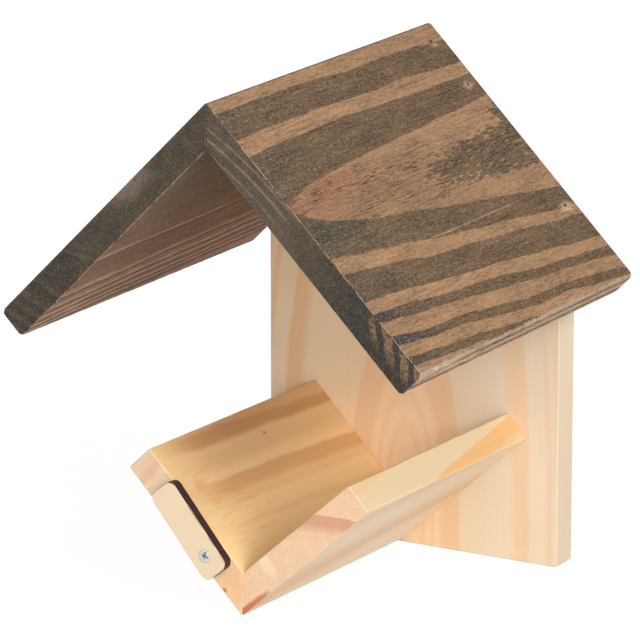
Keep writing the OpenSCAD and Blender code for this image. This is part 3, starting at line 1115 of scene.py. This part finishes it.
class Driven:
    """Where a screw or pin of the frame sits, and its size, worked out from its points."""

    def __init__(self, points):
        middle = sum(points, Vector()) / len(points)
        out = (max(points, key=lambda p: (p - middle).length) - middle).normalized()
        for _ in range(POWER_STEPS):
            out = sum(((p - middle).dot(out) * (p - middle) for p in points), Vector())
            out.normalize()
        widest = max(points, key=lambda p: (p - middle).cross(out).length)
        if (widest - middle).dot(out) < 0:
            out.negate()
        spots = [((p - middle).dot(out), (p - middle).cross(out).length) for p in points]
        highest, lowest = max(spots)[0], min(spots)[0]
        self.out = out
        self.top = middle + out * highest
        self.length = highest - lowest
        self.head = max(radius for _, radius in spots)
        self.shank = max(radius for height, radius in spots if height < 0)
        under = min(height for height, radius in spots if radius > self.shank + TOUCH)
        self.head_depth = highest - under
        self.is_pin = self.head_depth < PIN_HEAD


def driven_in(node):
    """Every screw or pin of a node, each a separate island of its mesh."""
    bm = bmesh.new()
    bm.from_mesh(frame["nodes"][node].data)
    bmesh.ops.remove_doubles(bm, verts=bm.verts, dist=TOUCH / 10)
    found, seen = [], set()
    for start in bm.verts:
        if start in seen:
            continue
        seen.add(start)
        island = [start]
        for vertex in island:
            fresh = [edge.other_vert(vertex) for edge in vertex.link_edges]
            fresh = list(dict.fromkeys(other for other in fresh if other not in seen))
            seen.update(fresh)
            island += fresh
        found.append(Driven([vertex.co.copy() for vertex in island]))
    bm.free()
    return found


def bore_profile(driven):
    """The bore that a screw or pin sits in, from outside the wood to its point."""
    gap = DRIVEN_GAP
    head, shank = driven.head + gap, driven.shank + gap
    if driven.is_pin:
        mouth = bpy.context.scene.feeder.planks.pin_mark / 2
        seat = [(head, 0), (head, -driven.head_depth - gap), (shank, -driven.head_depth - gap)]
    else:
        mouth = head
        seat = [(head, -SCREW_RIM), (shank, shank - head - SCREW_RIM)]
    point = POINT_SHARE * driven.shank
    return [(0, CUTTER_REACH), (mouth, CUTTER_REACH), (mouth, 0), *seat,
            (shank, point - driven.length), (0, -driven.length - gap)]


def cutters(nodes, mounts=()):
    """One object that holds the bores of the screws and pins in the nodes, and of the mounts."""
    bm = bmesh.new()
    for node in nodes:
        for driven in driven_in(node):
            lathe(bm, bore_profile(driven), stood(driven.top, driven.out))
    for mount in mounts:
        reach, radius = mount["dims"]["length_mm"] * MM, mount["dims"]["r_mm"] * MM
        lathe(bm, [(0, reach), (radius, reach), (radius, -reach), (0, -reach)],
              stood(mount["pos_m"], mount["axis"]), sides=48)
    return object_of("Bores", outward(bm))


# Points of a screw's outline in a turn of its thread, and from its shank to its tip
STEPS_IN_TURN = 5
STEPS_IN_POINT = 8
# Width of the cross recess above the head and at its bottom, as shares of its width in the head
RECESS_MOUTH = 1.12
RECESS_BOTTOM = 0.42


def screw_object(driven):
    """A countersunk screw with a cross recess and a thread, its head's top at the origin."""
    settings = bpy.context.scene.feeder.fasteners
    pitch, groove_depth = settings.pitch, settings.thread
    head, shank, length = driven.head, driven.shank, driven.length
    neck = head - shank + SCREW_RIM
    tip = length - POINT_SHARE * shank

    def groove(angle, height):
        """Depth of the thread's groove, which winds down the shank and fades at its neck."""
        if -height < neck + TOUCH:
            return 0
        wave = 0.5 - 0.5 * math.cos(math.tau * (height / pitch) - angle)
        share = min(1, (-height - neck) / pitch) * min(1, (length + height) / (length - tip))
        return groove_depth * wave * share

    steps = math.ceil((tip - neck) / pitch * STEPS_IN_TURN)
    rounding = 0.12 * MM
    profile = [(0, 0), (head - 2 * rounding, 0), (head - 0.5 * rounding, -0.3 * rounding),
               (head, -rounding), (head, -SCREW_RIM), (shank, -neck)]
    profile += [(shank, -neck - (tip - neck) * k / steps) for k in range(1, steps + 1)]
    shares = [k / STEPS_IN_POINT for k in range(1, STEPS_IN_POINT + 1)]
    profile += [(shank * (1 - share), -tip - (length - tip) * share) for share in shares]
    bm = bmesh.new()
    lathe(bm, profile, sides=32, groove=groove)
    return smooth_object("Screw", bored(outward(bm), cross_recess(settings, rounding)))


def cross_recess(settings, over):
    """The cutter of a cross recess, which reaches over the head and narrows to its bottom."""
    recess = bmesh.new()
    wide, slot = settings.recess / 2, settings.slot / 2
    cross = [(wide, -slot), (wide, slot), (slot, slot)]
    arms = [Matrix.Rotation(math.pi / 2 * k, 2) @ Vector(corner) for k in range(4)
            for corner in cross]
    rings = []
    for share, height in ((RECESS_MOUTH, over), (1.0, 0),
                          (RECESS_BOTTOM, -settings.recess_depth)):
        rings.append([recess.verts.new((*(arm * share), height)) for arm in arms])
    skin(recess, rings)
    return object_of("Recess", recess)


def pin_object(driven):
    """A pin with a flat head, its head's top at the origin."""
    rounding = 0.15 * MM
    head, shank, length = driven.head, driven.shank, driven.length
    depth = driven.head_depth
    tip = length - POINT_SHARE * shank
    profile = [(0, -0.3 * rounding), (0.5 * head, -0.3 * rounding), (0.6 * head, 0),
               (head - rounding, 0), (head, -rounding), (head, rounding - depth),
               (head - rounding, -depth), (shank, -depth), (shank, -tip), (0, -length)]
    bm = bmesh.new()
    lathe(bm, profile, sides=20)
    return smooth_object("Pin", outward(bm))


def fastener_tree():
    """Geometry nodes that set a fastener on each point, along its way out and turned at random."""
    tree, given = new_group(
        "Driven fasteners",
        {"Geometry": "geometry", "Fastener": "object", "Turn": "value", "Seed": "whole",
         "Material": "material"},
        {"Geometry": "geometry"}, kind="GeometryNodeTree")
    out = tree.node("GeometryNodeInputNamedAttribute", {"Name": "out"},
                    data_type="FLOAT_VECTOR")["Attribute"]
    stood = tree.node("FunctionNodeAlignRotationToVector", {"Vector": out}, axis="Z")[0]
    random = tree.node("FunctionNodeRandomValue", {"Seed": given["Seed"]}, data_type="FLOAT")
    most = next(socket for socket in random.node.inputs if socket.identifier == "Max_001")
    tree.graph.links.new(given["Turn"].socket, most)
    turn = tree.node("FunctionNodeAxisAngleToRotation", {"Axis": (0, 0, 1), "Angle": random[1]})[0]
    turned = tree.node("FunctionNodeRotateRotation", {"Rotation": stood, "Rotate By": turn},
                       rotation_space="LOCAL")[0]
    shape = tree.node("GeometryNodeObjectInfo", {"Object": given["Fastener"]})["Geometry"]
    placed = tree.node("GeometryNodeInstanceOnPoints",
                       {"Points": given["Geometry"], "Instance": shape, "Rotation": turned})[0]
    real = tree.node("GeometryNodeRealizeInstances", {"Geometry": placed})[0]
    painted = tree.node("GeometryNodeSetMaterial",
                        {"Geometry": real, "Material": given["Material"]})[0]
    return tree.give(Geometry=painted)


def fasteners(name, node, make, material, seed):
    """All the screws or pins of a node as one piece."""
    places = driven_in(node)
    points = bpy.data.meshes.new("Heads")
    points.from_pydata([driven.top for driven in places], [], [])
    out = points.attributes.new("out", "FLOAT_VECTOR", "POINT")
    for item, driven in zip(out.data, places):
        item.vector = driven.out
    heads = linked("Heads", points)
    shape = make(places[0])
    modifier = heads.modifiers.new("Fasteners", "NODES")
    modifier.node_group = shared_group(fastener_tree)
    given = {"Fastener": shape, "Turn": math.tau, "Seed": seed, "Material": material}
    for socket in modifier.node_group.interface.items_tree:
        if socket.name in given:
            modifier[socket.identifier] = given[socket.name]
    piece = evaluated(name, heads)
    discard(shape)
    return piece


def hand_over(piece, body, slot, *nodes):
    """Sets a finished piece on its body and in place of its nodes; the slot is not used."""
    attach(piece, body)
    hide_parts(*nodes)


class FEEDER_OT_roof_boards(Operator):
    """Builds the two stained roof boards"""
    bl_idname = "feeder.roof_boards"
    bl_label = "Roof boards"

    def execute(self, context):
        driven = ["roof_pins", "ridge_pins"]
        for name, node, material in (
                ("right_roof_plank", "roof_board_right", stained_roof_right()),
                ("left_roof_plank", "roof_board_left", stained_roof_left())):
            board = plank_piece(name, node, material, driven)
            hand_over(board, "feeder", "stained_pine", node)
        return {"FINISHED"}


class FEEDER_OT_back_board(Operator):
    """Builds the gabled back board"""
    bl_idname = "feeder.back_board"
    bl_label = "Back board"

    def execute(self, context):
        bores = [mount for mount in frame["record"]["mounts"] if mount["kind"] == "bore"]
        board = plank_piece("gable_plank", "back_board", back_pine(),
                            ["roof_pins", "cradle_screws"], bores)
        hand_over(board, "feeder", "pine", "back_board")
        return {"FINISHED"}


class FEEDER_OT_cradle_boards(Operator):
    """Builds the two cradle boards"""
    bl_idname = "feeder.cradle_boards"
    bl_label = "Cradle boards"

    def execute(self, context):
        driven = ["cradle_screws", "cradle_pins"]
        for name, node, material, own_screws in (
                ("left_cradle_plank", "cradle_board_left", cradle_pine_left(),
                 ["turn_button_screw"]),
                ("right_cradle_plank", "cradle_board_right", cradle_pine_right(), [])):
            board = plank_piece(name, node, material, driven + own_screws)
            hand_over(board, "feeder", "pine", node)
        return {"FINISHED"}


class FEEDER_OT_turn_button(Operator):
    """Builds the turn button from ply with a scorched edge"""
    bl_idname = "feeder.turn_button"
    bl_label = "Turn button"

    def execute(self, context):
        button = plank_piece("turn_button_ply", "turn_button", button_ply(),
                             ["turn_button_screw"], arris=0.3 * MM)
        hand_over(button, "button", "plywood", "turn_button")
        return {"FINISHED"}


class FEEDER_OT_screws(Operator):
    """Builds the turn button's screw and the four that hold the cradle"""
    bl_idname = "feeder.screws"
    bl_label = "Screws"

    def execute(self, context):
        zinc = zinc_plate("Zinc plate", context.scene.feeder.metal.zinc, 0.32)
        for name, node, seed in (("button_screw", "turn_button_screw", 4),
                                 ("wall_screws", "cradle_screws", 7)):
            piece = fasteners(name, node, screw_object, zinc, seed)
            hand_over(piece, "feeder", "zinc_steel", node)
        return {"FINISHED"}


class FEEDER_OT_pins(Operator):
    """Builds the pins of the roof, the ridge and the cradle"""
    bl_idname = "feeder.pins"
    bl_label = "Pins"

    def execute(self, context):
        tones = context.scene.feeder.metal
        bright = zinc_plate("Bright pin", tones.zinc, 0.4)
        dulled = zinc_plate("Dulled pin", tones.dulled, 0.6)
        for name, node, material, seed in (("roof_brads", "roof_pins", dulled, 2),
                                           ("ridge_brads", "ridge_pins", dulled, 3),
                                           ("cradle_brads", "cradle_pins", bright, 5)):
            piece = fasteners(name, node, pin_object, material, seed)
            hand_over(piece, "feeder", "zinc_steel", node)
        return {"FINISHED"}


class FEEDER_OT_stage(Operator):
    """Sets the floor, the light and the camera"""
    bl_idname = "feeder.stage"
    bl_label = "Stage"

    def execute(self, context):
        settings = context.scene.feeder.stage
        set_floor(settings)
        set_sky(settings)
        set_lamp("Front", settings, settings.front, azimuth=12, elevation=11, size=1.1)
        set_lamp("Side", settings, settings.side, azimuth=64, elevation=25, size=0.9)
        set_lamp("Rear", settings, settings.rear, azimuth=215, elevation=6, size=1.2)
        set_camera(settings)
        context.scene.view_settings.view_transform = "Standard"
        return {"FINISHED"}


def aimed(name, data, settings, azimuth, elevation, distance):
    """A camera or lamp that looks at the stage's aim, for angles in radians."""
    level = math.cos(elevation)
    back = Vector((math.sin(azimuth) * level, -math.cos(azimuth) * level, math.sin(elevation)))
    made = linked(name, data)
    made.location = Vector(settings.aim) + back * distance
    made.rotation_euler = (-back).to_track_quat("-Z", "Y").to_euler()
    return made


# Width of the sensor that the focal length belongs to, in millimetres
SENSOR_WIDTH = 36
# Distance at which the camera stops to see, in metres
CLIP_END = 20


def set_camera(settings):
    data = bpy.data.cameras.new("Camera")
    data.lens, data.sensor_width, data.clip_end = settings.lens, SENSOR_WIDTH, CLIP_END
    bpy.context.scene.camera = aimed("Camera", data, settings, settings.azimuth,
                                     settings.elevation, settings.distance)


def set_lamp(name, settings, power, azimuth, elevation, size):
    """A square lamp that the camera doesn't see, for angles in degrees."""
    light = bpy.data.lights.new(name, "AREA")
    light.energy, light.size = power, size
    lamp = aimed(name, light, settings, math.radians(azimuth), math.radians(elevation),
                 settings.lamp_distance)
    lamp.visible_camera = False


def seen(tree):
    """1 for what the camera sees, also mirrored or through glass, and 0 for other light."""
    ray = tree.node("ShaderNodeLightPath")
    return tree.math("MAXIMUM", ray["Is Camera Ray"],
                     tree.math("MAXIMUM", ray["Is Glossy Ray"], ray["Is Transmission Ray"]))


def set_sky(settings):
    """An even light that the camera sees as white."""
    world = bpy.data.worlds.new("Studio")
    bpy.context.scene.world = world
    world.use_nodes = True
    tree = Tree(world.node_tree)
    level = tree.node("ShaderNodeMapRange",
                      {0: seen(tree), 1: 0.0, 2: 1.0, 3: settings.sky, 4: 1.0})[0]
    tree.feed(world.node_tree.nodes["Background"], {"Color": (1, 1, 1), "Strength": level})


# Half the width of the floor, and its depth under the frame's lowest point
FLOOR_REACH = 6.0
FLOOR_DEPTH = 0.2 * MM


def set_floor(settings):
    """A pale floor that the camera sees as white, with a soft shadow on it."""
    mesh = bpy.data.meshes.new("Floor")
    corners = [(-1, -1), (1, -1), (1, 1), (-1, 1)]
    mesh.from_pydata([(FLOOR_REACH * x, FLOOR_REACH * y, -FLOOR_DEPTH) for x, y in corners],
                     [], [(0, 1, 2, 3)])
    tree = Finish("Pale floor")
    tree.graph.nodes.clear()
    pale = tree.node("ShaderNodeBsdfDiffuse", {"Color": [settings.floor] * 3})[0]
    dim = tree.node("ShaderNodeBsdfDiffuse", {"Color": [settings.shadow] * 3})[0]
    glow = tree.node("ShaderNodeEmission", {"Color": (1, 1, 1), "Strength": settings.glow})[0]
    white = tree.node("ShaderNodeAddShader", {0: dim, 1: glow})[0]
    shown = tree.node("ShaderNodeMixShader", {0: seen(tree), 1: pale, 2: white})[0]
    tree.node("ShaderNodeOutputMaterial", {0: shown})
    mesh.materials.append(tree.material)
    floor = linked("Floor", mesh)


STEPS = (FEEDER_OT_roof_boards, FEEDER_OT_back_board, FEEDER_OT_cradle_boards,
         FEEDER_OT_turn_button, FEEDER_OT_screws, FEEDER_OT_pins, FEEDER_OT_stage)


class FEEDER_PT_panel(Panel):
    """Lists the steps that build the feeder"""
    bl_label = "Jar feeder"
    bl_idname = "FEEDER_PT_panel"
    bl_space_type = "VIEW_3D"
    bl_region_type = "UI"
    bl_category = "Feeder"

    def draw(self, context):
        for step in STEPS:
            self.layout.operator(step.bl_idname)


CLASSES = (PlankSettings, FastenerSettings, StainTones, PineTones, MetalTones, StageSettings,
           FeederSettings, *STEPS, FEEDER_PT_panel)


def register():
    for cls in CLASSES:
        bpy.utils.register_class(cls)
    bpy.types.Scene.feeder = PointerProperty(type=FeederSettings)


def unregister():
    del bpy.types.Scene.feeder
    for cls in reversed(CLASSES):
        bpy.utils.unregister_class(cls)


def main():
    register()
    bpy.ops.feeder.roof_boards()
    bpy.ops.feeder.back_board()
    bpy.ops.feeder.cradle_boards()
    bpy.ops.feeder.turn_button()
    bpy.ops.feeder.screws()
    bpy.ops.feeder.pins()
    bpy.ops.feeder.stage()


if __name__ == "__main__":
    main()
